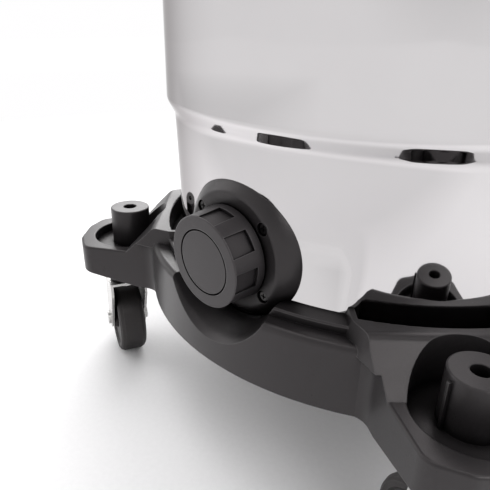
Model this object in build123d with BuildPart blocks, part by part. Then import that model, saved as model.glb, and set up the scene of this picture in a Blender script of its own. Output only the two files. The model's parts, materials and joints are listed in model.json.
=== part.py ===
from build123d import *
import os
from math import sin, cos, tan, atan2, radians, degrees, sqrt, pi

os.makedirs("parts", exist_ok=True)

# ------------------------------------------------------------------ driving dimensions (mm)
# tank
tank_r_crease = 160.8        # wall radius at the crease under the upper drum
tank_z_crease = 221.0
tank_taper = 0.0344          # radius lost per mm below the crease
band_r, band_z = 164.6, 228.5   # top of the sloping band above the crease
tank_r_upper = 166.0
tank_z_upper = 233.0         # where the bulge turns into the upper wall
tank_floor_z = 100.0
tank_wall = 1.0
tank_rim_z = 440.0
bead_r = 3.0

# base ring
skirt_r = 182.0
skirt_z0 = 88.0
ledge_z = 130.5
collar_r = 171.0
collar_z = 135.5
ridge_round = 4.0
base_floor_t = 5.0

# arms, in their own frame: s outwards from the tank axis, h across
arm_count = 4
arm_first = 45.0
post_s = 202.3
post_r = 15.1
post_z = 140.3
post_hole_r = 4.9
pad_z = 117.5
pad_end_s = 240.6
pocket_r = 29.0
pocket_z = 111.0
slope_s, slope_z = 198.0, 117.5   # foot of the 45 degree slope
saddle_z = 140.0                  # flat shelf behind the slope
slope_round = 8.0
groove_r = 167.6                  # open groove between shelf and tank
groove_z = 124.0
groove_half = 47.5

# casters
caster_s = 210.5
wheel_r = 32.0
wheel_w = 22.0
caster_trail = 12.0
caster_dir = 158.5           # heading of the trail at rest, degrees from +X
stem_r = 5.5
stem_bore_r = 5.56
stem_top_z = 102.0
axle_r = 4.0
axle_bore_r = 4.06
fork_t = 2.0
fork_inner = 26.0

# drain
drain_z = 156.0
drain_dip = 2.45
drain_y = 160.75
flange_s = 2.1               # front face, measured outwards along the drain axis
flange_r = 36.7
flange_back_r = 45.6
cap_back_s = 2.9
cap_face_s = 23.9
cap_r = 27.6
cap_back_r = 28.8
neck_r = 20.5
neck_bore_r = 16.5

flange_screws = [(25.3, 21.2), (-25.3, 21.2), (-25.3, -21.2), (25.3, -21.2)]
scallop_r = 47.0

# hose inlet
inlet_z = 340.0
inlet_flange_r = 46.0
inlet_out_s = 19.5           # end of the spigot beyond the tank wall
inlet_r = 35.0
hose_bore_r = 28.7

# power head
lid_r = 176.6
lid_skirt_z = 432.5
lid_seat_z = 444.0
lid_top_z = 468.0
lid_bore_r = 62.0
cover_r = 139.5
cover_top_z = 560.0
cover_t = 3.0
port_z = 507.0
handle_top_z = 626.0
latch_pin = (182.5, 446.0)   # x, z
latch_w = 23.0

# ------------------------------------------------------------------ helpers
def tank_r(z):
    return tank_r_crease - tank_taper * (tank_z_crease - z)


def flank(s):
    # half width of an arm
    return 38.1 + 0.203 * (197.7 - s)


def along_arm(point):
    # distances along and across the nearest arm
    k = radians(round((degrees(atan2(point.Y, point.X)) - arm_first) / 90.0) * 90.0 + arm_first)
    return point.X * cos(k) + point.Y * sin(k), -point.X * sin(k) + point.Y * cos(k)


arm_angles = [arm_first + 360.0 / arm_count * i for i in range(arm_count)]
corner_names = ["rear_right", "rear_left", "front_left", "front_right"]


def arm_plane(angle, z=0.0):
    # x runs out along the arm, y across it
    a = radians(angle)
    return Plane(origin=(0, 0, z), x_dir=(cos(a), sin(a), 0), z_dir=(0, 0, 1))


def arm_profile_plane(angle):
    # x runs out along the arm, y is height
    a = radians(angle)
    return Plane(origin=(0, 0, 0), x_dir=(cos(a), sin(a), 0), z_dir=(sin(a), -cos(a), 0))


dip = radians(drain_dip)
drain_axis = Vector(0, -cos(dip), -sin(dip))
drain_origin = Vector(0, -drain_y, drain_z)


def drain_plane(s):
    return Plane(origin=drain_origin + drain_axis * s, x_dir=(1, 0, 0), z_dir=drain_axis)


drain_line = Axis(drain_origin, drain_axis)
drain_section = Plane(origin=drain_origin, x_dir=(1, 0, 0), z_dir=Vector(1, 0, 0).cross(drain_axis))


# ------------------------------------------------------------------ base ring with arms
# flaring saddle between collar and slope
with BuildPart() as saddle:
    for z, pts in ((126.0, [(120, 54), (161, 55), (177, 48.5), (200, flank(200))]),
                   (saddle_z, [(120, 50.5), (163, 50.5), (177.5, 44.0), (200, flank(200) - 0.2)])):
        with BuildSketch(Plane.XY.offset(z)):
            Polygon(*pts, *[(x, -y) for x, y in reversed(pts)], align=None)
    loft()

with BuildPart() as base_dolly:
    # skirt ring with a rounded ridge, and the collar inside it
    with BuildSketch(Plane.XZ) as ring_profile:
        with BuildLine():
            Polyline((0, skirt_z0), (skirt_r, skirt_z0), (skirt_r, ledge_z - ridge_round))
            RadiusArc((skirt_r, ledge_z - ridge_round), (skirt_r - ridge_round, ledge_z), -ridge_round)
            Polyline((skirt_r - ridge_round, ledge_z), (collar_r, ledge_z), (collar_r, collar_z - 1),
                     (collar_r - 1, collar_z), (0, collar_z), (0, skirt_z0))
        make_face()
    revolve(axis=Axis.Z)
    # arms, blended into the skirt
    with BuildSketch(Plane.XY.offset(skirt_z0)) as plan:
        Circle(skirt_r - 0.6)
        with PolarLocations(0, arm_count, start_angle=arm_first):
            Polygon((120, flank(120)), (pad_end_s - 7.1, flank(pad_end_s - 7.1)), (pad_end_s, 12), (pad_end_s, -12),
                    (pad_end_s - 7.1, -flank(pad_end_s - 7.1)), (120, -flank(120)), align=None)
        ends = [v for v in plan.vertices() if Vector(v.X, v.Y, 0).length > 228]
        fillet(ends, 11)
        roots = [v for v in plan.vertices() if abs(Vector(v.X, v.Y, 0).length - (skirt_r - 0.6)) < 0.05]
        fillet(roots, 13)
    extrude(amount=ledge_z - 4.5 - skirt_z0)
    with PolarLocations(0, arm_count, start_angle=arm_first):
        add(saddle.part)
    # slope with a rounded top, and flat pad top
    slope_top_s = slope_s + slope_z - saddle_z
    run = slope_round * tan(radians(22.5))
    for a in arm_angles:
        with BuildSketch(arm_profile_plane(a)):
            with BuildLine():
                Polyline((slope_top_s - run, saddle_z), (slope_top_s - run, 170), (270, 170), (270, slope_z), (slope_s, slope_z),
                         (slope_top_s + run * cos(radians(45)), saddle_z - run * sin(radians(45))))
                ThreePointArc((slope_top_s + run * cos(radians(45)), saddle_z - run * sin(radians(45))),
                              (slope_top_s - run + slope_round * cos(radians(67.5)),
                               saddle_z - slope_round + slope_round * sin(radians(67.5))),
                              (slope_top_s - run, saddle_z))
            make_face()
        extrude(amount=70, both=True, mode=Mode.SUBTRACT)
    # rising underside of the pads
    for a in arm_angles:
        with BuildSketch(arm_profile_plane(a)):
            Polygon((190, 80), (190, skirt_z0 + 0.01), (245, 98.5), (245, 80), align=None)
        extrude(amount=60, both=True, mode=Mode.SUBTRACT)
    # seat for the tank: flat floor and conical wall
    with BuildSketch(Plane.XZ):
        with BuildLine():
            Polyline((0, tank_floor_z), (tank_r(tank_floor_z) + 0.25, tank_floor_z),
                     (tank_r(180) + 0.25, 180), (0, 180), (0, tank_floor_z))
        make_face()
    revolve(axis=Axis.Z, mode=Mode.SUBTRACT)
    # open groove between the shelf of each arm and the tank
    for a in arm_angles:
        with BuildSketch(arm_plane(a, groove_z)):
            Circle(groove_r)
            with Locations((150, 0)):
                Rectangle(60, 2 * groove_half, mode=Mode.INTERSECT)
        extrude(amount=40, mode=Mode.SUBTRACT)
    # ring pockets round the posts, cut up through slope and shelf
    with Locations((0, 0, pocket_z)):
        with PolarLocations(post_s, arm_count, start_angle=arm_first):
            Cylinder(pocket_r, 80, align=(Align.CENTER, Align.CENTER, Align.MIN), mode=Mode.SUBTRACT)
    # accessory posts with a blind hole, caster sockets beneath
    with Locations((0, 0, pocket_z - 2)):
        with PolarLocations(post_s, arm_count, start_angle=arm_first):
            Cylinder(post_r, post_z - pocket_z + 2, align=(Align.CENTER, Align.CENTER, Align.MIN))
    for a in arm_angles:
        with BuildSketch(arm_plane(a, pocket_z - 1)):
            with Locations((post_s + 4.6, -14.6)):
                Rectangle(1.6, 3.4, rotation=18)
        extrude(amount=post_z - 3 - pocket_z + 1)
    with Locations((0, 0, 77)):
        with PolarLocations(caster_s, arm_count, start_angle=arm_first):
            Cylinder(13, 22, align=(Align.CENTER, Align.CENTER, Align.MIN))
    with Locations((0, 0, post_z - 9)):
        with PolarLocations(post_s, arm_count, start_angle=arm_first):
            Cylinder(post_hole_r, 12, align=(Align.CENTER, Align.CENTER, Align.MIN), mode=Mode.SUBTRACT)
    with Locations((0, 0, 70)):
        with PolarLocations(caster_s, arm_count, start_angle=arm_first):
            Cylinder(stem_bore_r, stem_top_z + 2 - 70, align=(Align.CENTER, Align.CENTER, Align.MIN), mode=Mode.SUBTRACT)
    # scallop below the drain flange
    with BuildSketch(drain_section):
        with BuildLine():
            Polyline((0, -16), (scallop_r, -16))
            Spline((scallop_r, -16), (46.4, -9.5), (45.4, -6.6), (43.1, -2.8), (42.6, 1.0), (44.0, 8.0), (46.5, 14.0),
                   (48.3, 18.5), (51.2, 23.0), (55.4, 28.0))
            Polyline((55.4, 28.0), (0, 28.0), (0, -16))
        make_face()
    revolve(axis=drain_line, mode=Mode.SUBTRACT)
    # hollow underside
    with BuildSketch(Plane.XZ):
        Polygon((161.5, 80), (177, 80), (177, 103), (161.5, 103), align=None)
        Polygon((0, 80), (152, 80), (152, tank_floor_z - base_floor_t), (0, tank_floor_z - base_floor_t), align=None)
    revolve(axis=Axis.Z, mode=Mode.SUBTRACT)
    with PolarLocations(108, 4, start_angle=0):
        Cylinder(3.4, 240, mode=Mode.SUBTRACT)

    # moulded roundings
    fillet([e for e in base_dolly.edges() if e.geom_type == GeomType.CIRCLE and abs(e.center().Z - post_z) < 0.05
            and abs(e.radius - post_r) < 0.05], 1.0)
    fillet([e for e in base_dolly.edges() if e.geom_type == GeomType.CIRCLE and abs(e.center().Z - post_z) < 0.05
            and abs(e.radius - post_hole_r) < 0.05], 0.6)
    fillet([e for e in base_dolly.edges() if e.geom_type == GeomType.CIRCLE and abs(e.center().Z - saddle_z) < 0.05
            and abs(e.radius - groove_r) < 0.05], 1.2)
    fillet([e for e in base_dolly.edges() if abs(e.center().Z - pad_z) < 0.05 and along_arm(e.center())[0] > 199
            and sqrt((along_arm(e.center())[0] - post_s) ** 2 + along_arm(e.center())[1] ** 2) > pocket_r + 0.5], 1.6)
    fillet([e for e in base_dolly.edges() if e.geom_type == GeomType.CIRCLE and abs(e.center().Z - pad_z) < 0.05
            and abs(e.radius - pocket_r) < 0.05], 0.9)
base_dolly.part.label = "base_dolly"
export_step(base_dolly.part, "parts/base_dolly.step")

# ------------------------------------------------------------------ tank
with BuildPart() as tank_shell:
    rf = tank_r(tank_floor_z + 8)
    with BuildSketch(Plane.XZ):
        with BuildLine():
            Polyline((0, tank_floor_z), (rf - 8, tank_floor_z))
            RadiusArc((rf - 8, tank_floor_z), (rf, tank_floor_z + 8), -8)
            Line((rf, tank_floor_z + 8), (tank_r_crease, tank_z_crease))
            Line((tank_r_crease, tank_z_crease), (band_r, band_z))
            Bezier((band_r, band_z), (tank_r_upper - 0.2, band_z + 2.4), (tank_r_upper, band_z + 3.0),
                   (tank_r_upper, tank_z_upper))
            Polyline((tank_r_upper, tank_z_upper), (tank_r_upper, tank_rim_z - 3),
                     (tank_r_upper - tank_wall, tank_rim_z - 3), (tank_r_upper - tank_wall, tank_z_upper))
            Bezier((tank_r_upper - tank_wall, tank_z_upper), (tank_r_upper - tank_wall, band_z + 3.3),
                   (tank_r_upper - tank_wall - 0.2, band_z + 2.7), (band_r - tank_wall, band_z + 0.4))
            Line((band_r - tank_wall, band_z + 0.4), (tank_r_crease - tank_wall, tank_z_crease + 0.4))
            Line((tank_r_crease - tank_wall, tank_z_crease + 0.4), (rf - tank_wall, tank_floor_z + 8))
            RadiusArc((rf - tank_wall, tank_floor_z + 8), (rf - 8, tank_floor_z + tank_wall), 7)
            Polyline((rf - 8, tank_floor_z + tank_wall), (0, tank_floor_z + tank_wall), (0, tank_floor_z))
        make_face()
        with Locations((tank_r_upper + 1.6, tank_rim_z - bead_r)):
            Circle(bead_r)
    revolve(axis=Axis.Z)
    with BuildSketch(drain_plane(-40)):
        Circle(24)
        with Locations(*flange_screws):
            Circle(2.3)
    extrude(amount=60, mode=Mode.SUBTRACT)
    with BuildSketch(Plane(origin=(0, 130, inlet_z), x_dir=(-1, 0, 0), z_dir=(0, 1, 0))):
        Circle(hose_bore_r + 2)
        with PolarLocations(40, 4, start_angle=45):
            Circle(2.3)
    extrude(amount=60, mode=Mode.SUBTRACT)
    with PolarLocations(108, 4, start_angle=0):
        Cylinder(3.4, 240, mode=Mode.SUBTRACT)
tank_shell.part.label = "tank_shell"
export_step(tank_shell.part, "parts/tank_shell.step")

with BuildPart() as tank_bolts:
    with Locations((0, 0, tank_floor_z - base_floor_t - 4.5)):
        with PolarLocations(108, 4, start_angle=0):
            Cylinder(5.6, 4.5, align=(Align.CENTER, Align.CENTER, Align.MIN))
            Cylinder(3.0, 22, align=(Align.CENTER, Align.CENTER, Align.MIN))
tank_bolts.part.label = "tank_bolts"
export_step(tank_bolts.part, "parts/tank_bolts.step")

with BuildPart() as tank_bolt_seals:
    with BuildSketch(Plane.XY.offset(tank_floor_z + tank_wall)):
        with PolarLocations(108, 4, start_angle=0):
            Circle(8)
            Circle(3.05, mode=Mode.SUBTRACT)
    extrude(amount=2)
tank_bolt_seals.part.label = "tank_bolt_seals"
export_step(tank_bolt_seals.part, "parts/tank_bolt_seals.step")

with BuildPart() as tank_bolt_nuts:
    with BuildSketch(Plane.XY.offset(tank_floor_z + tank_wall + 2)):
        with PolarLocations(108, 4, start_angle=0):
            RegularPolygon(5.8, 6)
            Circle(3.05, mode=Mode.SUBTRACT)
    extrude(amount=5)
tank_bolt_nuts.part.label = "tank_bolt_nuts"
export_step(tank_bolt_nuts.part, "parts/tank_bolt_nuts.step")

# ------------------------------------------------------------------ casters
ca = radians(caster_dir)
roll = Vector(cos(ca), sin(ca), 0)          # from stem towards wheel centre
side = Vector(-sin(ca), cos(ca), 0)         # along the wheel axle

for name, angle in zip(corner_names, arm_angles):
    a = radians(angle)
    foot = Vector(caster_s * cos(a), caster_s * sin(a), 0)
    hub = foot + roll * caster_trail + Vector(0, 0, wheel_r)
    axle_plane = Plane(origin=hub, x_dir=roll, z_dir=side)
    fork_plane = Plane(origin=foot, x_dir=roll, z_dir=(0, 0, 1))

    with BuildPart() as fork:
        # bent strip: bridge over the wheel and two cheeks
        bridge_z = 74.5
        with BuildSketch(fork_plane.offset(bridge_z)):
            with Locations((2, 0)):
                RectangleRounded(30, fork_inner + 2 * fork_t, 3)
        extrude(amount=fork_t)
        for sgn in (-1, 1):
            off = sgn * (fork_inner / 2) if sgn > 0 else sgn * (fork_inner / 2 + fork_t)
            with BuildSketch(axle_plane.offset(off)) as cheek:
                with BuildLine():
                    # local y points up or down with the axle direction, so heights are signed
                    up = 1 if axle_plane.y_dir.Z > 0 else -1
                    top = up * (bridge_z + fork_t - wheel_r)
                    Polyline((-25, top), (5, top), (9.5, up * 3), (9.0, -up * 2))
                    ThreePointArc((9.0, -up * 2), (0, -up * 9.2), (-9.0, -up * 2))
                    Polyline((-9.0, -up * 2), (-25, top - up * 12), (-25, top))
                make_face()
                Circle(axle_bore_r, mode=Mode.SUBTRACT)
            extrude(amount=fork_t)
        with Locations(fork_plane.offset(bridge_z)):
            Cylinder(stem_r + 0.04, 20, mode=Mode.SUBTRACT)
    fork.part.label = f"caster_fork_{name}"
    export_step(fork.part, f"parts/caster_fork_{name}.step")

    with BuildPart() as stem:
        with BuildSketch(fork_plane.offset(bridge_z - 3)):
            Circle(8.5)
        extrude(amount=3)
        with BuildSketch(fork_plane.offset(bridge_z - 3)):
            Circle(stem_r)
        extrude(amount=stem_top_z - bridge_z + 3)
        chamfer(stem.edges().filter_by(GeomType.CIRCLE).sort_by(Axis.Z)[-1], 1.2)
    stem.part.label = f"caster_stem_{name}"
    export_step(stem.part, f"parts/caster_stem_{name}.step")

    with BuildPart() as axle:
        half = fork_inner / 2 + fork_t
        with BuildSketch(axle_plane.offset(-half - 2.4)):
            Circle(6.6)
        extrude(amount=2.4)
        with BuildSketch(axle_plane.offset(-half)):
            Circle(axle_r)
        extrude(amount=2 * half + 1)
        with BuildSketch(axle_plane.offset(half)):
            Circle(6.0)
        extrude(amount=2.2)
        fillet(axle.edges().filter_by(GeomType.CIRCLE).group_by(lambda e: e.radius)[-1][-1], 0.6)
    axle.part.label = f"caster_axle_{name}"
    export_step(axle.part, f"parts/caster_axle_{name}.step")

    with BuildPart() as wheel:
        # tyre with rounded shoulders, dished sides and a hub a little wider than the web
        with BuildSketch(Plane(origin=hub, x_dir=roll, z_dir=roll.cross(side))):
            with BuildLine():
                w = wheel_w / 2
                Polyline((axle_bore_r, -w - 1.2), (9.5, -w - 1.2), (10.5, -w + 1.5), (24, -w + 2.0), (26, -w),
                         (29, -w), (wheel_r - 1.2, -w + 1.3), (wheel_r, -w + 4), (wheel_r, w - 4),
                         (wheel_r - 1.2, w - 1.3), (29, w), (26, w), (24, w - 2.0), (10.5, w - 1.5),
                         (9.5, w + 1.2), (axle_bore_r, w + 1.2), (axle_bore_r, -w - 1.2))
            make_face()
        revolve(axis=Axis(hub, side))
    wheel.part.label = f"caster_wheel_{name}"
    export_step(wheel.part, f"parts/caster_wheel_{name}.step")

# ------------------------------------------------------------------ drain


def lower_cone_profile(extra):
    # half section of the lower tank wall, grown outwards
    return [(0, 101), (tank_r(101) + extra, 101), (tank_r(216) + extra, 216), (0, 216)]


with BuildPart() as gasket_space:
    with BuildSketch(drain_plane(-40)):
        Circle(38.5)
    extrude(amount=50)
    with BuildSketch(Plane.XZ):
        Polygon(*lower_cone_profile(1.15), align=None)
    revolve(axis=Axis.Z, mode=Mode.INTERSECT)

with BuildPart() as drain_flange:
    with BuildSketch(drain_section):
        with BuildLine():
            Polyline((neck_bore_r, -20), (neck_bore_r, 17.5), (neck_r, 17.5), (neck_r, flange_s), (flange_r - 1.8, flange_s))
            Spline((flange_r - 1.8, flange_s), (flange_r + 1.0, flange_s - 1.1), (42.0, -2.8), (44.8, -6.9),
                   (flange_back_r, -9.5), tangents=((1, 0), (0.12, -1)))
            Polyline((flange_back_r, -9.5), (flange_back_r + 0.9, -20), (neck_bore_r, -20))
        make_face()
    revolve(axis=drain_line)
    with BuildSketch(Plane.XZ):
        Polygon(*lower_cone_profile(0.12), align=None)
    revolve(axis=Axis.Z, mode=Mode.SUBTRACT)
    add(gasket_space.part, mode=Mode.SUBTRACT)
    with BuildSketch(drain_plane(flange_s + 1)):
        with Locations(*flange_screws):
            Circle(3.9)
    extrude(amount=-4.4, mode=Mode.SUBTRACT)
    with BuildSketch(drain_plane(flange_s + 1)):
        with Locations(*flange_screws):
            Circle(2.1)
    extrude(amount=-30, mode=Mode.SUBTRACT)
drain_flange.part.label = "drain_flange"
export_step(drain_flange.part, "parts/drain_flange.step")

with BuildPart() as drain_gasket:
    with BuildSketch(drain_plane(-40)):
        Circle(38.2)
        Circle(24.2, mode=Mode.SUBTRACT)
        with Locations(*flange_screws):
            Circle(2.3, mode=Mode.SUBTRACT)
    extrude(amount=50)
    with BuildSketch(Plane.XZ):
        Polygon(*lower_cone_profile(1.08), align=None)
    revolve(axis=Axis.Z, mode=Mode.INTERSECT)
    with BuildSketch(Plane.XZ):
        Polygon(*lower_cone_profile(0.08), align=None)
    revolve(axis=Axis.Z, mode=Mode.SUBTRACT)
drain_gasket.part.label = "drain_gasket"
export_step(drain_gasket.part, "parts/drain_gasket.step")

with BuildPart() as drain_backing_ring:
    with BuildSketch(drain_plane(-22)):
        Circle(40)
        Circle(24.5, mode=Mode.SUBTRACT)
        with Locations(*flange_screws):
            Circle(2.04, mode=Mode.SUBTRACT)
    extrude(amount=30)
    with BuildSketch(Plane.XZ):
        Polygon(*lower_cone_profile(-tank_wall - 0.12), align=None)
    revolve(axis=Axis.Z, mode=Mode.INTERSECT)
drain_backing_ring.part.label = "drain_backing_ring"
export_step(drain_backing_ring.part, "parts/drain_backing_ring.step")

with BuildPart() as drain_screws:
    with BuildSketch(drain_plane(flange_s - 3.3)):
        with Locations(*flange_screws):
            Circle(3.4)
    extrude(amount=2.2)
    fillet(drain_screws.edges().filter_by(GeomType.CIRCLE).group_by(drain_line)[-1], 0.9)
    with BuildSketch(drain_plane(flange_s - 3.3)):
        with Locations(*flange_screws):
            Circle(2.0)
    extrude(amount=-14)
    # cross recess
    with BuildSketch(drain_plane(flange_s - 1.1)):
        with Locations(*flange_screws):
            Rectangle(3.6, 0.9)
            Rectangle(0.9, 3.6)
    extrude(amount=-1.3, mode=Mode.SUBTRACT)
drain_screws.part.label = "drain_screws"
export_step(drain_screws.part, "parts/drain_screws.step")

with BuildPart() as drain_cap_seal:
    with BuildSketch(drain_plane(17.7)):
        Circle(20.4)
        Circle(14.5, mode=Mode.SUBTRACT)
    extrude(amount=1.8)
drain_cap_seal.part.label = "drain_cap_seal"
export_step(drain_cap_seal.part, "parts/drain_cap_seal.step")

with BuildPart() as drain_cap:
    with BuildSketch(drain_section):
        with BuildLine():
            Polyline((21.0, cap_back_s), (cap_back_r - 0.6, cap_back_s), (cap_back_r, cap_back_s + 0.6),
                     (cap_r + 0.05, cap_face_s - 1.0))
            RadiusArc((cap_r + 0.05, cap_face_s - 1.0), (cap_r - 0.95, cap_face_s), -1.0)
            Polyline((cap_r - 0.95, cap_face_s), (19.9, cap_face_s), (19.9, cap_face_s - 1.2), (18.9, cap_face_s - 1.2),
                     (18.9, cap_face_s - 0.15), (0, cap_face_s - 0.15), (0, 19.7), (21.0, 19.7), (21.0, cap_back_s))
        make_face()
    revolve(axis=drain_line)
    with Locations(drain_plane(8.3)):
        with PolarLocations(31.2, 8, start_angle=81):
            Box(10, 12.6, cap_face_s - 0.6 - 8.3, align=(Align.CENTER, Align.CENTER, Align.MIN), mode=Mode.SUBTRACT)
drain_cap.part.label = "drain_cap"
export_step(drain_cap.part, "parts/drain_cap.step")

# ------------------------------------------------------------------ hose inlet
def inlet_plane(s):
    return Plane(origin=(0, tank_r_upper + s, inlet_z), x_dir=(-1, 0, 0), z_dir=(0, 1, 0))


with BuildPart() as inlet_gasket_space:
    with BuildSketch(inlet_plane(-30)):
        Circle(43.2)
    extrude(amount=50)
    with BuildSketch(Plane.XY.offset(240)):
        Circle(tank_r_upper + 1.15)
    extrude(amount=180, mode=Mode.INTERSECT)

with BuildPart() as inlet_port:
    with BuildSketch(inlet_plane(-20)):
        Circle(inlet_flange_r)
    extrude(amount=23.5)
    fillet(inlet_port.edges().filter_by(GeomType.CIRCLE).sort_by(Axis.Y)[-1], 2.5)
    with BuildSketch(inlet_plane(3)):
        Circle(inlet_r)
    extrude(amount=inlet_out_s - 3)
    chamfer(inlet_port.edges().filter_by(GeomType.CIRCLE).sort_by(Axis.Y)[-1], 1.2)
    with BuildSketch(inlet_plane(-40)):
        Circle(hose_bore_r)
        with PolarLocations(40, 4, start_angle=45):
            Circle(2.1)
    extrude(amount=80, mode=Mode.SUBTRACT)
    with BuildSketch(inlet_plane(4)):
        with PolarLocations(40, 4, start_angle=45):
            Circle(3.9)
    extrude(amount=-3.2, mode=Mode.SUBTRACT)
    with BuildSketch(Plane.XY.offset(200)):
        Circle(tank_r_upper + 0.12)
    extrude(amount=260, mode=Mode.SUBTRACT)
    add(inlet_gasket_space.part, mode=Mode.SUBTRACT)
inlet_port.part.label = "inlet_port"
export_step(inlet_port.part, "parts/inlet_port.step")

with BuildPart() as inlet_gasket:
    with BuildSketch(inlet_plane(-30)):
        Circle(42.9)
        Circle(30.9, mode=Mode.SUBTRACT)
        with PolarLocations(40, 4, start_angle=45):
            Circle(2.3, mode=Mode.SUBTRACT)
    extrude(amount=50)
    with BuildSketch(Plane.XY.offset(240)):
        Circle(tank_r_upper + 1.08)
    extrude(amount=180, mode=Mode.INTERSECT)
    with BuildSketch(Plane.XY.offset(240)):
        Circle(tank_r_upper + 0.08)
    extrude(amount=180, mode=Mode.SUBTRACT)
inlet_gasket.part.label = "inlet_gasket"
export_step(inlet_gasket.part, "parts/inlet_gasket.step")

with BuildPart() as inlet_deflector:
    # flange against the inner wall and a hood open downwards
    with BuildSketch(inlet_plane(-24)):
        Circle(46)
    extrude(amount=30)
    with BuildSketch(Plane.XY.offset(200)):
        Circle(tank_r_upper - tank_wall - 0.12)
    extrude(amount=260, mode=Mode.INTERSECT)
    with BuildSketch(inlet_plane(-24)):
        Circle(38)
    extrude(amount=-40)
    with BuildSketch(inlet_plane(-61)):
        Circle(35)
    extrude(amount=80, mode=Mode.SUBTRACT)
    with Locations((0, tank_r_upper - 24.01, inlet_z - 8)):
        Box(100, 41, 60, align=(Align.CENTER, Align.MAX, Align.MAX), mode=Mode.SUBTRACT)
    with BuildSketch(inlet_plane(-30)):
        with PolarLocations(40, 4, start_angle=45):
            Circle(2.04)
    extrude(amount=60, mode=Mode.SUBTRACT)
inlet_deflector.part.label = "inlet_deflector"
export_step(inlet_deflector.part, "parts/inlet_deflector.step")

with BuildPart() as inlet_screws:
    with BuildSketch(inlet_plane(0.9)):
        with PolarLocations(40, 4, start_angle=45):
            Circle(3.4)
    extrude(amount=2.2)
    fillet(inlet_screws.edges().filter_by(GeomType.CIRCLE).group_by(Axis.Y)[-1], 0.9)
    with BuildSketch(inlet_plane(0.9)):
        with PolarLocations(40, 4, start_angle=45):
            Circle(2.0)
    extrude(amount=-18)
    with BuildSketch(inlet_plane(3.1)):
        with PolarLocations(40, 4, start_angle=45):
            Rectangle(3.6, 0.9)
            Rectangle(0.9, 3.6)
    extrude(amount=-1.3, mode=Mode.SUBTRACT)
inlet_screws.part.label = "inlet_screws"
export_step(inlet_screws.part, "parts/inlet_screws.step")

# ------------------------------------------------------------------ power head
with BuildPart() as head_lid:
    with BuildSketch(Plane.XZ):
        with BuildLine():
            Polyline((172.6, lid_skirt_z), (175.4, lid_skirt_z), (lid_r, lid_skirt_z + 1.2), (lid_r, 445))
            Bezier((lid_r, 445), (lid_r, 451), (172, 454.5), (163, 456.5))
            Polyline((163, 456.5), (148, 460.5), (143, lid_top_z), (lid_bore_r, lid_top_z), (lid_bore_r, lid_top_z - 6),
                     (134, lid_top_z - 6), (142, 454.5), (159.5, 450), (159.5, lid_seat_z), (172.6, lid_seat_z), (172.6, lid_skirt_z))
        make_face()
    revolve(axis=Axis.Z)
    # latch ears on both sides
    for sgn in (-1, 1):
        for y0 in (-latch_w / 2 - 4.4, latch_w / 2 + 0.4):
            with BuildSketch(Plane(origin=(0, y0, 0), x_dir=(1, 0, 0), z_dir=(0, -1, 0))):
                with BuildLine():
                    Polyline((sgn * 170, 434.5), (sgn * 180, 434.5), (sgn * 187.2, 442), (sgn * 187.2, 448.5),
                             (sgn * 184.5, 451.2), (sgn * 170, 452.5), (sgn * 170, 434.5))
                make_face()
            extrude(amount=-4)
    with BuildSketch(Plane.XY.offset(420)):
        Circle(172.6)
    extrude(amount=lid_seat_z - 420, mode=Mode.SUBTRACT)
    with BuildSketch(Plane(origin=(0, 30, 0), x_dir=(1, 0, 0), z_dir=(0, -1, 0))):
        with Locations((latch_pin[0], latch_pin[1]), (-latch_pin[0], latch_pin[1])):
            Circle(2.53)
    extrude(amount=60, mode=Mode.SUBTRACT)
    with PolarLocations(126, 4, start_angle=20):
        Cylinder(2.3, 1200, mode=Mode.SUBTRACT)
head_lid.part.label = "head_lid"
export_step(head_lid.part, "parts/head_lid.step")

with BuildPart() as lid_seal:
    with BuildSketch(Plane.XY.offset(tank_rim_z + 0.3)):
        Circle(171.9)
        Circle(161.5, mode=Mode.SUBTRACT)
    extrude(amount=lid_seat_z - tank_rim_z - 0.35)
lid_seal.part.label = "lid_seal"
export_step(lid_seal.part, "parts/lid_seal.step")

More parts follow.
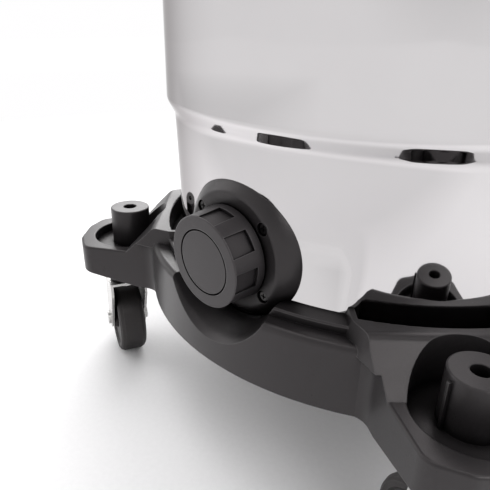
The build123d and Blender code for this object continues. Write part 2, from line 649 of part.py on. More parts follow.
with BuildPart() as motor_cover:
    with BuildSketch(Plane.XZ):
        with BuildLine():
            Polyline((0, cover_top_z), (96, cover_top_z))
            Bezier((96, cover_top_z), (118, cover_top_z - 1), (cover_r, cover_top_z - 30), (cover_r, cover_top_z - 62))
            Polyline((cover_r, cover_top_z - 62), (cover_r, lid_top_z + 0.05), (cover_r - cover_t, lid_top_z + 0.05),
                     (cover_r - cover_t, cover_top_z - 62))
            Bezier((cover_r - cover_t, cover_top_z - 62), (cover_r - cover_t, cover_top_z - 31.5),
                   (117, cover_top_z - cover_t - 1), (96, cover_top_z - cover_t))
            Polyline((96, cover_top_z - cover_t), (0, cover_top_z - cover_t), (0, cover_top_z))
        make_face()
    revolve(axis=Axis.Z)
    # screw bosses
    with Locations((0, 0, lid_top_z + 0.05)):
        with PolarLocations(126, 4, start_angle=20):
            Cylinder(6, 24, align=(Align.CENTER, Align.CENTER, Align.MIN))
            Box(12, 7, 24, align=(Align.MIN, Align.CENTER, Align.MIN))
    with Locations((0, 0, lid_top_z - 2)):
        with PolarLocations(126, 4, start_angle=20):
            Cylinder(2.04, 22, align=(Align.CENTER, Align.CENTER, Align.MIN), mode=Mode.SUBTRACT)
    # cooling slots on the back half and the sides
    with Locations((0, 0, 492)):
        with PolarLocations(cover_r, 23, start_angle=-12, angular_range=204):
            Box(20, 4.5, 26, mode=Mode.SUBTRACT)
    # openings for blower port, switch and cord gland
    with BuildSketch(Plane(origin=(0, -90, port_z), x_dir=(1, 0, 0), z_dir=(0, -1, 0))):
        Circle(34.2)
    extrude(amount=80, mode=Mode.SUBTRACT)
    with Locations((0, 66, cover_top_z)):
        Box(20, 36, 30, mode=Mode.SUBTRACT)
    with BuildSketch(Plane(origin=(0, 0, 490), x_dir=(sin(radians(235)), -cos(radians(235)), 0),
                           z_dir=(cos(radians(235)), sin(radians(235)), 0))):
        Circle(10.08)
    extrude(amount=200, mode=Mode.SUBTRACT)
    # handle fixing holes
    with Locations((-78, 0, cover_top_z), (78, 0, cover_top_z)):
        Cylinder(2.6, 30, mode=Mode.SUBTRACT)
motor_cover.part.label = "motor_cover"
export_step(motor_cover.part, "parts/motor_cover.step")

with BuildPart() as carry_handle:
    with BuildSketch(Plane.XZ) as handle_outline:
        with BuildLine():
            l1 = Polyline((-96, cover_top_z + 0.05), (-60, cover_top_z + 0.05), (-60, cover_top_z + 6), (-64, 588), (-52, 603),
                          (52, 603), (64, 588), (60, cover_top_z + 6), (60, cover_top_z + 0.05), (96, cover_top_z + 0.05),
                          (96, cover_top_z + 8), (82, 606), (60, handle_top_z), (-60, handle_top_z), (-82, 606),
                          (-96, cover_top_z + 8), (-96, cover_top_z + 0.05))
        make_face()
        fillet([v for v in handle_outline.vertices() if v.Y > 580], 11)
    extrude(amount=15, both=True)
    grip = [e for e in carry_handle.edges() if e.center().Z > cover_top_z + 3 and abs(abs(e.center().Y) - 15) < 0.01]
    fillet(grip, 5)
    with Locations((-78, 0, cover_top_z), (78, 0, cover_top_z)):
        Cylinder(2.04, 44, mode=Mode.SUBTRACT)
carry_handle.part.label = "carry_handle"
export_step(carry_handle.part, "parts/carry_handle.step")

with BuildPart() as handle_screws:
    with BuildSketch(Plane.XY.offset(cover_top_z - cover_t - 0.05)):
        with Locations((-78, 0), (78, 0)):
            Circle(5)
    extrude(amount=-3)
    with BuildSketch(Plane.XY.offset(cover_top_z - cover_t - 0.05)):
        with Locations((-78, 0), (78, 0)):
            Circle(2.0)
    extrude(amount=22)
handle_screws.part.label = "handle_screws"
export_step(handle_screws.part, "parts/handle_screws.step")

with BuildPart() as cover_screws:
    with BuildSketch(Plane.XY.offset(lid_top_z - 6)):
        with PolarLocations(126, 4, start_angle=20):
            Circle(4.2)
    extrude(amount=-2.6)
    fillet(cover_screws.edges().filter_by(GeomType.CIRCLE).group_by(Axis.Z)[0], 0.9)
    with BuildSketch(Plane.XY.offset(lid_top_z - 6)):
        with PolarLocations(126, 4, start_angle=20):
            Circle(2.0)
    extrude(amount=23)
cover_screws.part.label = "cover_screws"
export_step(cover_screws.part, "parts/cover_screws.step")

with BuildPart() as switch_bezel:
    with BuildSketch(Plane.XY.offset(cover_top_z + 0.05)):
        with Locations((0, 66)):
            RectangleRounded(28, 46, 4)
    extrude(amount=4.5)
    fillet(switch_bezel.edges().group_by(Axis.Z)[-1], 1.5)
    with BuildSketch(Plane.XY.offset(cover_top_z - 9.5)):
        with Locations((0, 66)):
            Rectangle(19.4, 35.4)
    extrude(amount=10.5)
    with BuildSketch(Plane.XY.offset(cover_top_z - 8)):
        with Locations((0, 66)):
            Rectangle(16.4, 31)
    extrude(amount=30, mode=Mode.SUBTRACT)
switch_bezel.part.label = "switch_bezel"
export_step(switch_bezel.part, "parts/switch_bezel.step")

rocker_plane = Plane(origin=(0, 66, cover_top_z + 1.5), x_dir=(0, cos(radians(8)), sin(radians(8))),
                     z_dir=(1, 0, 0))
with BuildPart() as switch_rocker:
    # shown pressed towards the centre (off)
    with BuildSketch(rocker_plane) as rocker_outline:
        with BuildLine():
            Polyline((-14.4, -1), (-14.4, 5.2), (0, 2.6), (14.4, 5.2), (14.4, -1), (6, -7.5), (-6, -7.5), (-14.4, -1))
        make_face()
    extrude(amount=7.8, both=True)
    fillet([e for e in switch_rocker.edges() if e.center().Z > cover_top_z + 3 and abs(abs(e.center().X) - 7.8) > 0.1
            and abs(e.center().Y - 66) > 5], 1.0)
switch_rocker.part.label = "switch_rocker"
export_step(switch_rocker.part, "parts/switch_rocker.step")

with BuildPart() as blower_port:
    with BuildSketch(Plane(origin=(0, -112, port_z), x_dir=(1, 0, 0), z_dir=(0, -1, 0))):
        Circle(34.1)
    extrude(amount=58)
    with BuildSketch(Plane(origin=(0, -141, port_z), x_dir=(1, 0, 0), z_dir=(0, -1, 0))):
        Circle(38)
    extrude(amount=6)
    chamfer(blower_port.edges().filter_by(GeomType.CIRCLE).sort_by(Axis.Y)[0], 1.2)
    with BuildSketch(Plane(origin=(0, -100, port_z), x_dir=(1, 0, 0), z_dir=(0, -1, 0))):
        Circle(hose_bore_r)
    extrude(amount=90, mode=Mode.SUBTRACT)
    # inner edge kept clear of the cover's inside
blower_port.part.label = "blower_port"
export_step(blower_port.part, "parts/blower_port.step")

gland_dir = Vector(cos(radians(235)), sin(radians(235)), 0)


def gland_plane(r):
    return Plane(origin=Vector(0, 0, 490) + gland_dir * r, x_dir=(-gland_dir.Y, gland_dir.X, 0), z_dir=gland_dir)


with BuildPart() as cord_gland:
    with BuildSketch(gland_plane(128)):
        Circle(10)
    extrude(amount=22)
    with BuildSketch(gland_plane(cover_r + 0.4)):
        RegularPolygon(13.5, 6)
    extrude(amount=6)
    with BuildSketch(gland_plane(150)):
        Circle(8)
    extrude(amount=8)
    chamfer(cord_gland.edges().filter_by(GeomType.CIRCLE).sort_by(Axis(Vector(0, 0, 490), gland_dir))[-1], 1.5)
    with BuildSketch(gland_plane(120)):
        Circle(4.2)
    extrude(amount=60, mode=Mode.SUBTRACT)
cord_gland.part.label = "cord_gland"
export_step(cord_gland.part, "parts/cord_gland.step")

# ------------------------------------------------------------------ latches
for name, sgn in (("right", 1), ("left", -1)):
    px, pz = latch_pin
    with BuildPart() as latch:
        # over-centre hook: knuckle, plate, hook under the bead, finger tab
        with BuildSketch(Plane(origin=(0, latch_w / 2, 0), x_dir=(1, 0, 0), z_dir=(0, -1, 0))) as latch_outline:
            with BuildLine():
                Polyline((sgn * (px - 3.6), pz - 3), (sgn * (px - 3.6), 431.2), (sgn * 171.3, 430.8), (sgn * 171.3, 428.2),
                         (sgn * (px - 3.6), 424), (sgn * (px - 3.0), 417), (sgn * (px + 2.6), 406), (sgn * (px + 4.6), 407.5),
                         (sgn * (px + 1.4), 419), (sgn * (px + 1.4), 430), (sgn * (px + 4.4), pz - 3), (sgn * (px - 3.6), pz - 3))
            make_face()
            with Locations((sgn * px, pz)):
                Circle(4.8)
        extrude(amount=latch_w)
        with BuildSketch(Plane(origin=(0, latch_w / 2 + 1, 0), x_dir=(1, 0, 0), z_dir=(0, -1, 0))):
            with Locations((sgn * px, pz)):
                Circle(2.56)
        extrude(amount=latch_w + 2, mode=Mode.SUBTRACT)
    latch.part.label = f"latch_{name}"
    export_step(latch.part, f"parts/latch_{name}.step")

with BuildPart() as latch_pins:
    with BuildSketch(Plane(origin=(0, latch_w / 2 + 4.6, 0), x_dir=(1, 0, 0), z_dir=(0, -1, 0))):
        with Locations((latch_pin[0], latch_pin[1]), (-latch_pin[0], latch_pin[1])):
            Circle(2.5)
    extrude(amount=latch_w + 9.2)
    with BuildSketch(Plane(origin=(0, latch_w / 2 + 6.2, 0), x_dir=(1, 0, 0), z_dir=(0, -1, 0))):
        with Locations((latch_pin[0], latch_pin[1]), (-latch_pin[0], latch_pin[1])):
            Circle(3.6)
    extrude(amount=1.7)
latch_pins.part.label = "latch_pins"
export_step(latch_pins.part, "parts/latch_pins.step")

# ------------------------------------------------------------------ motor and fan inside the cover
with BuildPart() as fan_housing:
    with BuildSketch(Plane.XZ):
        Polygon((70, lid_top_z + 0.05), (82, lid_top_z + 0.05), (82, 489), (14, 489), (14, 486), (70, 486), align=None)
    revolve(axis=Axis.Z)
    with Locations((0, 0, 478)):
        with PolarLocations(76, 8):
            Box(20, 18, 10, mode=Mode.SUBTRACT)
fan_housing.part.label = "fan_housing"
export_step(fan_housing.part, "parts/fan_housing.step")

with BuildPart() as motor_can:
    with BuildSketch(Plane.XZ):
        Polygon((11.05, 489.05), (50, 489.05), (50, 549), (11.05, 549), (11.05, 545), (47, 545), (47, 496), (11.05, 496), align=None)
    revolve(axis=Axis.Z)
    with Locations((0, 0, 520)):
        with PolarLocations(48, 6):
            Box(12, 16, 34, mode=Mode.SUBTRACT)
motor_can.part.label = "motor_can"
export_step(motor_can.part, "parts/motor_can.step")

with BuildPart() as field_stator:
    with BuildSketch(Plane.XY.offset(502)):
        Circle(46.9)
        Circle(32, mode=Mode.SUBTRACT)
        with PolarLocations(46.9, 2):
            Rectangle(6, 8, mode=Mode.SUBTRACT)
    extrude(amount=36)
field_stator.part.label = "field_stator"
export_step(field_stator.part, "parts/field_stator.step")

with BuildPart() as motor_bearings:
    with BuildSketch(Plane.XY.offset(489.6)):
        Circle(11)
        Circle(5.04, mode=Mode.SUBTRACT)
    extrude(amount=6)
    with BuildSketch(Plane.XY.offset(545.2)):
        Circle(11)
        Circle(5.04, mode=Mode.SUBTRACT)
    extrude(amount=3.6)
motor_bearings.part.label = "motor_bearings"
export_step(motor_bearings.part, "parts/motor_bearings.step")

with BuildPart() as motor_shaft:
    with BuildSketch(Plane.XY.offset(471)):
        Circle(5)
    extrude(amount=80)
motor_shaft.part.label = "motor_shaft"
export_step(motor_shaft.part, "parts/motor_shaft.step")

with BuildPart() as armature:
    with BuildSketch(Plane.XY.offset(502)):
        Circle(29)
        Circle(5.03, mode=Mode.SUBTRACT)
        with PolarLocations(27.5, 12):
            Rectangle(5, 2.4, mode=Mode.SUBTRACT)
    extrude(amount=36)
    with BuildSketch(Plane.XY.offset(538)):
        Circle(14)
        Circle(5.03, mode=Mode.SUBTRACT)
    extrude(amount=5)
armature.part.label = "armature"
export_step(armature.part, "parts/armature.step")

with BuildPart() as fan_impeller:
    with BuildSketch(Plane.XY.offset(472.5)):
        Circle(66)
        Circle(5.03, mode=Mode.SUBTRACT)
    extrude(amount=1.5)
    with BuildSketch(Plane.XY.offset(473)):
        with PolarLocations(42, 10):
            Rectangle(44, 2, rotation=28)
    extrude(amount=8.5)
    with BuildSketch(Plane.XY.offset(472.5)):
        Circle(12)
        Circle(5.03, mode=Mode.SUBTRACT)
    extrude(amount=11)
fan_impeller.part.label = "fan_impeller"
export_step(fan_impeller.part, "parts/fan_impeller.step")

# ------------------------------------------------------------------ filter under the lid
with BuildPart() as filter_cage:
    with BuildSketch(Plane.XZ):
        Polygon((55, 316), (60, 316), (60, 457), (78, 457), (78, lid_top_z - 6.05), (55, lid_top_z - 6.05), align=None)
        Polygon((5, 316), (60, 316), (60, 312), (5, 312), align=None)
    revolve(axis=Axis.Z)
    for z in (352, 394, 430):
        with Locations((0, 0, z)):
            with PolarLocations(57, 8):
                Box(20, 26, 26, mode=Mode.SUBTRACT)
    # stud for the filter retainer
    with BuildSketch(Plane.XY.offset(292)):
        Circle(5.4)
    extrude(amount=24)
filter_cage.part.label = "filter_cage"
export_step(filter_cage.part, "parts/filter_cage.step")

pleats = 44
star = []
for i in range(pleats):
    t0, t1 = 2 * pi * i / pleats, 2 * pi * (i + 0.5) / pleats
    star += [(86 * cos(t0), 86 * sin(t0)), (73 * cos(t1), 73 * sin(t1))]
with BuildPart() as cartridge_filter:
    with BuildSketch(Plane.XY.offset(322)):
        Polygon(*star, align=None)
        Circle(60.5, mode=Mode.SUBTRACT)
    extrude(amount=126)
    with BuildSketch(Plane.XY.offset(448)):
        Circle(89)
        Circle(60.5, mode=Mode.SUBTRACT)
    extrude(amount=8.9)
    with BuildSketch(Plane.XY.offset(311.9)):
        Circle(89)
        Circle(60.5, mode=Mode.SUBTRACT)
    extrude(amount=10.1)
cartridge_filter.part.label = "cartridge_filter"
export_step(cartridge_filter.part, "parts/cartridge_filter.step")

with BuildPart() as filter_retainer:
    with BuildSketch(Plane.XY.offset(305)):
        Circle(92)
        Circle(5.46, mode=Mode.SUBTRACT)
    extrude(amount=6.8)
    with BuildSketch(Plane.XY.offset(293)):
        Circle(15)
        with PolarLocations(15, 6):
            Circle(4, mode=Mode.SUBTRACT)
        Circle(5.46, mode=Mode.SUBTRACT)
    extrude(amount=12)
    fillet(filter_retainer.edges().group_by(Axis.Z)[0].filter_by(lambda e: e.center().Z < 294 and e.length > 4 and Vector(e.center().X, e.center().Y, 0).length > 7), 0.8)
filter_retainer.part.label = "filter_retainer"
export_step(filter_retainer.part, "parts/filter_retainer.step")

with BuildPart() as float_ball:
    with Locations((0, 0, 346)):
        Sphere(26)
float_ball.part.label = "float_ball"
export_step(float_ball.part, "parts/float_ball.step")
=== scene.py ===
import json
import math

import bmesh
import bpy
from mathutils import Matrix, Vector


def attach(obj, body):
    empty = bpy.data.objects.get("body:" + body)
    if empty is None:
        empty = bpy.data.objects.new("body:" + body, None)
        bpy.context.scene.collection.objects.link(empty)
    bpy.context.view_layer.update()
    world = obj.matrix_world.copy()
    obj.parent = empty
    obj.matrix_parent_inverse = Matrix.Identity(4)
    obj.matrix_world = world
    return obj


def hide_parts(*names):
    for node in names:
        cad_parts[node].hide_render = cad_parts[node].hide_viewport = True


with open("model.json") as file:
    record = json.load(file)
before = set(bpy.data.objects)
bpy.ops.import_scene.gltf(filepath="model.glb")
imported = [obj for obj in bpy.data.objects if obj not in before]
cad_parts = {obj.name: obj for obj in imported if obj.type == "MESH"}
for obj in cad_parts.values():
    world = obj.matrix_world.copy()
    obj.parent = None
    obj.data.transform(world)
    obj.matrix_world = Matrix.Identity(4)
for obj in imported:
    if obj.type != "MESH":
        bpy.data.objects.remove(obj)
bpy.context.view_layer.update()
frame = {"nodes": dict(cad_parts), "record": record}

nodes = frame["nodes"]
scene = bpy.context.scene


# ------------------------------------------------------------------ node helpers
class Mat:
    """A small wrapper that makes a node material with a Principled shader."""

    def __init__(self, name):
        self.m = bpy.data.materials.new(name)
        self.m.use_nodes = True
        self.t = self.m.node_tree
        self.t.nodes.clear()
        self.out = self.t.nodes.new("ShaderNodeOutputMaterial")
        self.b = self.t.nodes.new("ShaderNodeBsdfPrincipled")
        self.link(self.b.outputs[0], self.out.inputs[0])
        self.co = self.t.nodes.new("ShaderNodeTexCoord").outputs["Object"]

    def link(self, a, b):
        self.t.links.new(a, b)

    def set(self, **kw):
        for k, v in kw.items():
            self.b.inputs[k.replace("_", " ")].default_value = v
        return self

    def mapped(self, scale=(1, 1, 1), rot=(0, 0, 0)):
        n = self.t.nodes.new("ShaderNodeMapping")
        n.inputs["Scale"].default_value = scale
        n.inputs["Rotation"].default_value = rot
        self.link(self.co, n.inputs["Vector"])
        return n.outputs[0]

    def noise(self, scale, detail=4.0, rough=0.55, vec=None, dist=0.0):
        n = self.t.nodes.new("ShaderNodeTexNoise")
        n.inputs["Scale"].default_value = scale
        n.inputs["Detail"].default_value = detail
        n.inputs["Roughness"].default_value = rough
        n.inputs["Distortion"].default_value = dist
        self.link(vec if vec is not None else self.co, n.inputs["Vector"])
        return n.outputs["Fac"]

    def voronoi(self, scale, vec=None):
        n = self.t.nodes.new("ShaderNodeTexVoronoi")
        n.inputs["Scale"].default_value = scale
        self.link(vec if vec is not None else self.co, n.inputs["Vector"])
        return n.outputs["Distance"]

    def ramp(self, fac, stops):
        n = self.t.nodes.new("ShaderNodeValToRGB")
        el = n.color_ramp.elements
        while len(el) < len(stops):
            el.new(0.5)
        for e, (p, c) in zip(el, stops):
            e.position = p
            e.color = (*c, 1) if len(c) == 3 else c
        self.link(fac, n.inputs[0])
        return n.outputs[0]

    def grey(self, fac, lo, hi, p0=0.3, p1=0.7):
        n = self.t.nodes.new("ShaderNodeMapRange")
        n.inputs["From Min"].default_value = p0
        n.inputs["From Max"].default_value = p1
        n.inputs["To Min"].default_value = lo
        n.inputs["To Max"].default_value = hi
        self.link(fac, n.inputs["Value"])
        return n.outputs[0]

    def mix(self, fac, a, b, kind="MIX"):
        n = self.t.nodes.new("ShaderNodeMix")
        n.data_type = "RGBA"
        n.blend_type = kind
        for v, i in ((fac, 0), (a, 6), (b, 7)):
            if isinstance(v, (int, float)):
                n.inputs[i].default_value = v
            elif isinstance(v, tuple):
                n.inputs[i].default_value = (*v, 1)
            else:
                self.link(v, n.inputs[i])
        return n.outputs[2]

    def math(self, op, a, b):
        n = self.t.nodes.new("ShaderNodeMath")
        n.operation = op
        for v, i in ((a, 0), (b, 1)):
            if isinstance(v, (int, float)):
                n.inputs[i].default_value = v
            else:
                self.link(v, n.inputs[i])
        return n.outputs[0]

    def bump(self, height, strength, distance, edge=0.0):
        n = self.t.nodes.new("ShaderNodeBump")
        n.inputs["Strength"].default_value = strength
        n.inputs["Distance"].default_value = distance
        self.link(height, n.inputs["Height"])
        if edge:
            e = self.t.nodes.new("ShaderNodeBevel")
            e.samples = 6
            e.inputs["Radius"].default_value = edge
            self.link(e.outputs[0], n.inputs["Normal"])
        self.link(n.outputs[0], self.b.inputs["Normal"])

    def colour(self, socket):
        self.link(socket, self.b.inputs["Base Color"])

    def rough(self, socket):
        self.link(socket, self.b.inputs["Roughness"])


def moulded(name, dark, light, rough=(0.36, 0.5), grain=1600, bump=0.25, spec=0.42, edge=0.0008, close=(0.35, 0.80)):
    """Moulded plastic: fine spark grain, faint flow marks, dust lifted on the grain."""
    m = Mat(name)
    fine = m.noise(grain, 2.0, 0.6)
    pits = m.voronoi(grain * 0.55)
    flow = m.noise(14.0, 4.0, 0.6, dist=0.6)
    dust = m.noise(120.0, 6.0, 0.7)
    c = m.ramp(flow, [(0.32, dark), (0.72, light)])
    c = m.mix(m.grey(dust, 0.0, 0.35, 0.58, 0.75), c, tuple(v * 1.5 + 0.004 for v in light))
    # painted shade: where the shape closes in on itself, ambient occlusion darkens the colour and cuts the sheen,
    # broadly in hollows and under other parts and tightly along creases and corners
    broad_shade_ao = m.t.nodes.new("ShaderNodeAmbientOcclusion")
    broad_shade_ao.samples = 6
    broad_shade_ao.inputs["Distance"].default_value = 0.04
    crease_shade_ao = m.t.nodes.new("ShaderNodeAmbientOcclusion")
    crease_shade_ao.samples = 6
    crease_shade_ao.inputs["Distance"].default_value = 0.008
    crease_shade = m.grey(crease_shade_ao.outputs["AO"], 0.0, 1.0, 0.48, 0.80)
    m.link(m.math("MULTIPLY", crease_shade, m.grey(broad_shade_ao.outputs["AO"], 0.06, spec, *close)), m.b.inputs["Specular IOR Level"])
    c = m.mix(m.grey(broad_shade_ao.outputs["AO"], 0.6, 0.0, *close), c, tuple(v * 0.25 for v in dark))
    c = m.mix(crease_shade, tuple(v * 0.2 for v in dark), c)
    # painted highlight: outer edges are lightened a little in the colour to stand in for edge highlights, except in
    # occluded corners
    brow = m.t.nodes.new("ShaderNodeBevel")
    brow.samples = 6
    brow.inputs["Radius"].default_value = edge
    face = m.t.nodes.new("ShaderNodeNewGeometry")
    turn = m.t.nodes.new("ShaderNodeVectorMath")
    turn.operation = "DOT_PRODUCT"
    m.link(brow.outputs[0], turn.inputs[0])
    m.link(face.outputs["Normal"], turn.inputs[1])
    painted_edge_highlight = m.math("MULTIPLY", m.grey(turn.outputs["Value"], 0.9, 0.0, 0.93, 0.998), m.grey(broad_shade_ao.outputs["AO"], 0.0, 1.0, 0.62, 0.86))
    c = m.mix(painted_edge_highlight, c, tuple(v * 1.6 + 0.045 for v in light))
    m.colour(c)
    r = m.math("ADD", m.grey(flow, rough[0], rough[1]), m.grey(fine, -0.04, 0.04))
    m.rough(r)
    m.bump(m.math("ADD", m.math("MULTIPLY", fine, 0.7), m.math("MULTIPLY", pits, 0.5)), bump, 0.00012, edge)
    m.set(IOR=1.49, Specular_Tint=(1.0, 0.945, 0.95, 1))
    return m.m


def polished(name):
    """Mirror-polished stainless sheet with faint lines round the drum, rolled outwards a touch just above the base."""
    m = Mat(name)
    lines = m.noise(1.0, 3.0, 0.6, vec=m.mapped((6, 6, 900)))
    haze = m.noise(9.0, 5.0, 0.6)
    c = m.ramp(haze, [(0.3, (0.622, 0.606, 0.612)), (0.7, (0.652, 0.636, 0.642))])
    m.colour(c)
    m.rough(m.math("ADD", m.grey(haze, 0.035, 0.06), m.grey(lines, -0.008, 0.012)))
    m.set(Metallic=1.0, Specular_Tint=(0.50, 0.49, 0.49, 1))
    # the sheet leans back towards the light where it enters the base
    xyz = m.t.nodes.new("ShaderNodeSeparateXYZ")
    m.link(m.co, xyz.inputs[0])
    low = m.grey(xyz.outputs[2], 0.36, 0.0, 0.160, 0.186)
    foot = m.grey(xyz.outputs[2], 0.0, 1.0, 0.130, 0.135)
    front = m.math("MULTIPLY", m.grey(xyz.outputs[0], 0.0, 1.0, -0.06, 0.0), m.grey(xyz.outputs[0], 1.0, 0.0, 0.064, 0.078))
    lean = m.t.nodes.new("ShaderNodeCombineXYZ")
    m.link(m.math("MULTIPLY", m.math("MULTIPLY", low, foot), front), lean.inputs[2])
    geo = m.t.nodes.new("ShaderNodeNewGeometry")
    add = m.t.nodes.new("ShaderNodeVectorMath")
    add.operation = "ADD"
    m.link(geo.outputs["Normal"], add.inputs[0])
    m.link(lean.outputs[0], add.inputs[1])
    unit = m.t.nodes.new("ShaderNodeVectorMath")
    unit.operation = "NORMALIZE"
    m.link(add.outputs[0], unit.inputs[0])
    bump = m.t.nodes.new("ShaderNodeBump")
    bump.inputs["Strength"].default_value = 0.02
    bump.inputs["Distance"].default_value = 0.00003
    m.link(lines, bump.inputs["Height"])
    m.link(unit.outputs[0], bump.inputs["Normal"])
    m.link(bump.outputs[0], m.b.inputs["Normal"])
    return m.m


def plated(name, colour, rough=(0.22, 0.38), scale=500):
    """Zinc-plated pressed steel: crystalline speckle and cloudy tone."""
    m = Mat(name)
    speck = m.voronoi(scale)
    cloud = m.noise(60, 5, 0.65)
    c = m.ramp(cloud, [(0.3, tuple(v * 0.82 for v in colour)), (0.72, colour)])
    c = m.mix(m.grey(speck, 0.0, 0.25, 0.1, 0.6), c, tuple(min(1, v * 1.12) for v in colour))
    m.colour(c)
    m.rough(m.grey(cloud, *rough))
    m.bump(speck, 0.08, 0.00005)
    m.set(Metallic=1.0)
    return m.m


def rubber(name, colour):
    m = Mat(name)
    fine = m.noise(2400, 2, 0.6)
    cloud = m.noise(40, 5, 0.6)
    m.colour(m.ramp(cloud, [(0.3, tuple(v * 0.75 for v in colour)), (0.75, tuple(v * 1.5 for v in colour))]))
    m.rough(m.grey(cloud, 0.6, 0.8))
    m.bump(fine, 0.2, 0.00008)
    m.set(IOR=1.45, Specular_IOR_Level=0.4)
    return m.m


def paper(name):
    m = Mat(name)
    fibre = m.noise(900, 6, 0.7, vec=m.mapped((1, 1, 0.35)))
    cloud = m.noise(25, 4, 0.6)
    c = m.ramp(cloud, [(0.3, (0.62, 0.59, 0.50)), (0.7, (0.76, 0.73, 0.64))])
    c = m.mix(m.grey(fibre, 0.0, 0.4, 0.45, 0.7), c, (0.50, 0.47, 0.40))
    m.colour(c)
    m.rough(m.grey(fibre, 0.8, 0.95))
    m.bump(fibre, 0.4, 0.0002)
    return m.m


black = moulded("black_moulded", (0.015, 0.0135, 0.0142), (0.021, 0.0190, 0.0200), rough=(0.29, 0.38), close=(0.33, 0.72))
cap_mat = moulded("cap_moulded", (0.026, 0.0236, 0.0250), (0.033, 0.0302, 0.0318), rough=(0.38, 0.48), grain=2200, bump=0.2)
head_mat = moulded("head_moulded", (0.022, 0.020, 0.021), (0.031, 0.0285, 0.0295), rough=(0.34, 0.46))
wheel_mat = moulded("wheel_moulded", (0.016, 0.0145, 0.0145), (0.026, 0.024, 0.024), rough=(0.42, 0.58), grain=1200, bump=0.35)
switch_mat = moulded("switch_moulded", (0.012, 0.012, 0.012), (0.018, 0.018, 0.018), rough=(0.2, 0.3), bump=0.08)
rocker_mat = moulded("rocker_moulded", (0.36, 0.012, 0.010), (0.46, 0.022, 0.016), rough=(0.2, 0.3), bump=0.08)
cage_mat = moulded("cage_moulded", (0.030, 0.030, 0.031), (0.046, 0.046, 0.047), rough=(0.4, 0.55))
float_mat = moulded("float_moulded", (0.62, 0.61, 0.57), (0.74, 0.73, 0.69), rough=(0.5, 0.65), bump=0.3)
steel = polished("polished_stainless")
zinc = plated("bright_zinc", (0.66, 0.655, 0.64))
screw = plated("screw_steel", (0.06, 0.058, 0.058), rough=(0.3, 0.45), scale=900)
ground = plated("ground_steel", (0.56, 0.56, 0.57), rough=(0.18, 0.3), scale=1500)
lacquer = plated("lacquered_steel", (0.30, 0.30, 0.31), rough=(0.4, 0.55))
alu = plated("pressed_aluminium", (0.74, 0.74, 0.76), rough=(0.28, 0.42), scale=800)
seal = rubber("seal_rubber", (0.016, 0.016, 0.016))
pleat = paper("pleated_paper")

by_slot = {
    "black_plastic": black, "cover_plastic": head_mat, "polished_steel": steel, "zinc_steel": zinc, "rubber": seal,
    "wheel_plastic": wheel_mat, "switch_plastic": switch_mat, "rocker_plastic": rocker_mat, "motor_metal": lacquer,
    "bearing_steel": ground, "fan_metal": alu, "cage_plastic": cage_mat, "filter_paper": pleat, "float_plastic": float_mat,
}
by_node = {"drain_cap": cap_mat, "head_lid": head_mat, "carry_handle": head_mat, "blower_port": head_mat,
           "drain_screws": screw, "inlet_screws": screw, "cover_screws": screw}
slot_of = {s["node"]: s["material_slot"] for s in frame["record"]["subparts"]}
for n, o in nodes.items():
    o.data.materials.clear()
    o.data.materials.append(by_node.get(n, by_slot[slot_of[n]]))

# ------------------------------------------------------------------ tank, turned finely enough to mirror cleanly
def bezier(p0, p1, p2, p3, n):
    out = []
    for i in range(1, n + 1):
        t = i / n
        u = 1 - t
        out.append(tuple(u ** 3 * a + 3 * u * u * t * b + 3 * u * t * t * c + t ** 3 * d
                         for a, b, c, d in zip(p0, p1, p2, p3)))
    return out


def line(p0, p1, n):
    return [tuple(a + (b - a) * i / n for a, b in zip(p0, p1)) for i in range(1, n + 1)]


def arc(c, r, a0, a1, n):
    return [(c[0] + r * math.cos(math.radians(a0 + (a1 - a0) * i / n)),
             c[1] + r * math.sin(math.radians(a0 + (a1 - a0) * i / n))) for i in range(1, n + 1)]


WALL, FOOT_Z, TURNS = 1.0, 100.0, 480
foot_r = 160.8 - 0.0344 * (221.0 - FOOT_Z - 8)
profile = [(4.0, FOOT_Z)]
profile += line(profile[-1], (foot_r - 8, FOOT_Z), 6)
profile += arc((foot_r - 8, FOOT_Z + 8), 8, -90, 0, 10)
profile += line(profile[-1], (160.70, 218.0), 40)
profile += bezier(profile[-1], (160.77, 220.1), (161.10, 221.8), (162.00, 223.45), 14)
profile += line(profile[-1], (164.80, 228.4), 8)
profile += bezier(profile[-1], (165.65, 229.9), (166.0, 231.4), (166.0, 233.0), 14)
profile += line(profile[-1], (166.0, 434.46), 60)
neck_out = len(profile) - 1
profile += arc((167.6, 437.0), 3.0, 237.8, 570.0, 40)
neck_in = len(profile) - 1
profile += line(profile[-1], (165.0, 233.0), 60)
profile += bezier(profile[-1], (165.0, 231.8), (164.8, 231.2), (163.6, 228.9), 12)
profile += line(profile[-1], (159.8, 221.4), 8)
crease_in = len(profile) - 1
profile += line(profile[-1], (foot_r - WALL, FOOT_Z + 8), 40)
profile += arc((foot_r - 8, FOOT_Z + 8), 7, 0, -90, 10)
profile += line(profile[-1], (4.0, FOOT_Z + WALL), 6)

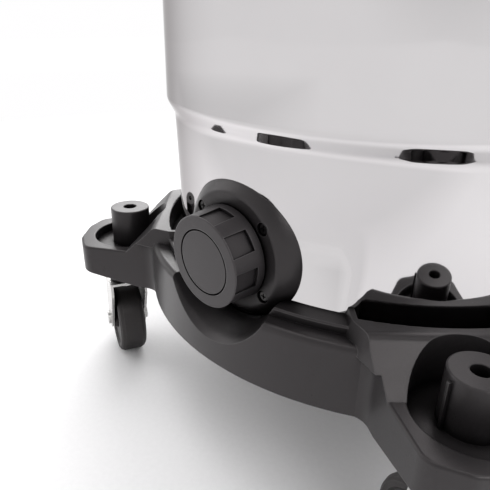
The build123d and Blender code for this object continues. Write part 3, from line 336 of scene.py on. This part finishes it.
bm = bmesh.new()
rings = []
for r, z in profile:
    rings.append([bm.verts.new((r * math.cos(2 * math.pi * i / TURNS) / 1000, r * math.sin(2 * math.pi * i / TURNS) / 1000,
                                z / 1000)) for i in range(TURNS)])
drain_c = Vector((0, -0.16075, 0.156))
drain_d = Vector((0, -math.cos(math.radians(2.45)), -math.sin(math.radians(2.45))))
for k in range(len(rings) - 1):
    a, b = rings[k], rings[k + 1]
    for i in range(TURNS):
        j = (i + 1) % TURNS
        mid = (a[i].co + a[j].co + b[i].co + b[j].co) / 4
        d = mid - drain_c
        off_drain = (d - drain_d * d.dot(drain_d)).length
        if mid.y < 0 and off_drain < 0.024 and abs(d.dot(drain_d)) < 0.03:
            continue
        if mid.y > 0.1 and math.hypot(mid.x, mid.z - 0.340) < 0.0307:
            continue
        f = bm.faces.new((a[i], a[j], b[j], b[i]))
        f.smooth = True
for k in (neck_out, neck_in, crease_in):
    for i in range(TURNS):
        e = bm.edges.get((rings[k][i], rings[k][(i + 1) % TURNS]))
        if e:
            e.smooth = False
bmesh.ops.recalc_face_normals(bm, faces=bm.faces)
me = bpy.data.meshes.new("tank_drum")
bm.to_mesh(me)
bm.free()
drum = bpy.data.objects.new("tank_drum", me)
scene.collection.objects.link(drum)
me.materials.append(steel)
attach(drum, "base")
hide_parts("tank_shell")

# ------------------------------------------------------------------ floor
FLOOR = Mat("floor_paper")
grain = FLOOR.noise(300, 4, 0.6)
shade = FLOOR.t.nodes.new("ShaderNodeSeparateXYZ")
FLOOR.link(FLOOR.co, shade.inputs[0])
# painted shade: the floor colour darkens towards the front, below y = -0.34 m
FLOOR.colour(FLOOR.mix(FLOOR.grey(shade.outputs[1], 1.0, 0.0, -0.52, -0.34),
                       FLOOR.ramp(grain, [(0.3, (0.89, 0.885, 0.89)), (0.7, (0.92, 0.915, 0.92))]), (0.70, 0.695, 0.70)))
FLOOR.set(Roughness=0.7, Specular_IOR_Level=0.2)
far = FLOOR.t.nodes.new("ShaderNodeVectorMath")
far.operation = "LENGTH"
FLOOR.link(FLOOR.co, far.inputs[0])
# painted light: beyond 0.42 m from the centre the floor fades into a white glow that stands in for a lit backdrop,
# dimmer towards the front and left
backdrop_glow = FLOOR.t.nodes.new("ShaderNodeEmission")
backdrop_glow.inputs["Color"].default_value = (1.0, 0.995, 1.0, 1)
axes = FLOOR.t.nodes.new("ShaderNodeSeparateXYZ")
FLOOR.link(FLOOR.co, axes.inputs[0])
near = FLOOR.math("MAXIMUM", FLOOR.grey(axes.outputs[1], 0.80, 1.0, -0.42, -0.10),
                  FLOOR.grey(axes.outputs[0], 0.86, 1.02, -0.75, 0.05))
FLOOR.link(FLOOR.math("MAXIMUM", near, FLOOR.grey(far.outputs["Value"], 0.80, 1.02, 1.2, 2.8)), backdrop_glow.inputs["Strength"])
fade = FLOOR.t.nodes.new("ShaderNodeMixShader")
FLOOR.link(FLOOR.grey(far.outputs["Value"], 0.0, 1.0, 0.42, 1.35), fade.inputs[0])
FLOOR.link(FLOOR.b.outputs[0], fade.inputs[1])
FLOOR.link(backdrop_glow.outputs[0], fade.inputs[2])
FLOOR.link(fade.outputs[0], FLOOR.out.inputs[0])
bm = bmesh.new()
bmesh.ops.create_grid(bm, x_segments=8, y_segments=8, size=6.0)
me = bpy.data.meshes.new("floor")
bm.to_mesh(me)
bm.free()
floor = bpy.data.objects.new("floor", me)
floor.location = (0, 0, -0.0004)
scene.collection.objects.link(floor)
me.materials.append(FLOOR.m)

# ------------------------------------------------------------------ light
world = bpy.data.worlds.new("studio")
scene.world = world
world.use_nodes = True
wt = world.node_tree
wt.nodes.clear()
wo = wt.nodes.new("ShaderNodeOutputWorld")
bg = wt.nodes.new("ShaderNodeBackground")
bg.inputs["Color"].default_value = (1.0, 0.995, 1.0, 1)
wc = wt.nodes.new("ShaderNodeTexCoord")
wd = wt.nodes.new("ShaderNodeVectorMath")
wd.operation = "DOT_PRODUCT"
wd.inputs[1].default_value = (0.45, -0.43, 0.78)
wt.links.new(wc.outputs["Generated"], wd.inputs[0])
wr = wt.nodes.new("ShaderNodeMapRange")
wr.interpolation_type = "SMOOTHSTEP"
wr.inputs["From Min"].default_value = 0.50
wr.inputs["From Max"].default_value = 1.0
wr.inputs["To Min"].default_value = 1.0
wr.inputs["To Max"].default_value = 0.45
wt.links.new(wd.outputs["Value"], wr.inputs["Value"])
wt.links.new(wr.outputs[0], bg.inputs["Strength"])
wt.links.new(bg.outputs[0], wo.inputs[0])


def area(name, loc, aim, size, power, colour=(1, 1, 1)):
    d = bpy.data.lights.new(name, "AREA")
    d.shape = "RECTANGLE"
    d.size, d.size_y = size
    d.energy = power
    d.color = colour
    o = bpy.data.objects.new(name, d)
    o.location = loc
    o.rotation_mode = "QUATERNION"
    o.rotation_quaternion = (Vector(aim) - Vector(loc)).to_track_quat("-Z", "Y")
    scene.collection.objects.link(o)
    return o


area("back_box", (-1.25, 1.15, 1.05), (0, 0, 0.1), (1.5, 1.0), 20)
area("top_box", (-0.3, 0.2, 1.9), (0, 0, 0.2), (1.6, 1.6), 14)
area("right_box", (1.35, -0.45, 1.45), (0.12, -0.12, 0.12), (0.9, 0.9), 10)
area("left_box", (-1.5, -0.9, 0.9), (-0.1, -0.15, 0.15), (1.0, 1.2), 4)

# ------------------------------------------------------------------ camera
cam_data = bpy.data.cameras.new("camera")
cam = bpy.data.objects.new("camera", cam_data)
scene.collection.objects.link(cam)
right = Vector((0.69275308, 0.72100385, 0.01570405))
up = Vector((-0.30414037, 0.27234035, 0.91286876))
back = Vector((0.65390505, -0.63716888, 0.40795099))
cam.matrix_world = Matrix((
    (right.x, up.x, back.x, 0.20177778),
    (right.y, up.y, back.y, -0.34825471),
    (right.z, up.z, back.z, 0.28197520),
    (0, 0, 0, 1)))
cam_data.sensor_width = 36.0
cam_data.lens = 511.79765 / 490.0 * 36.0
cam_data.clip_start = 0.01
scene.camera = cam
scene.view_settings.view_transform = "Standard"
scene.view_settings.look = "None"
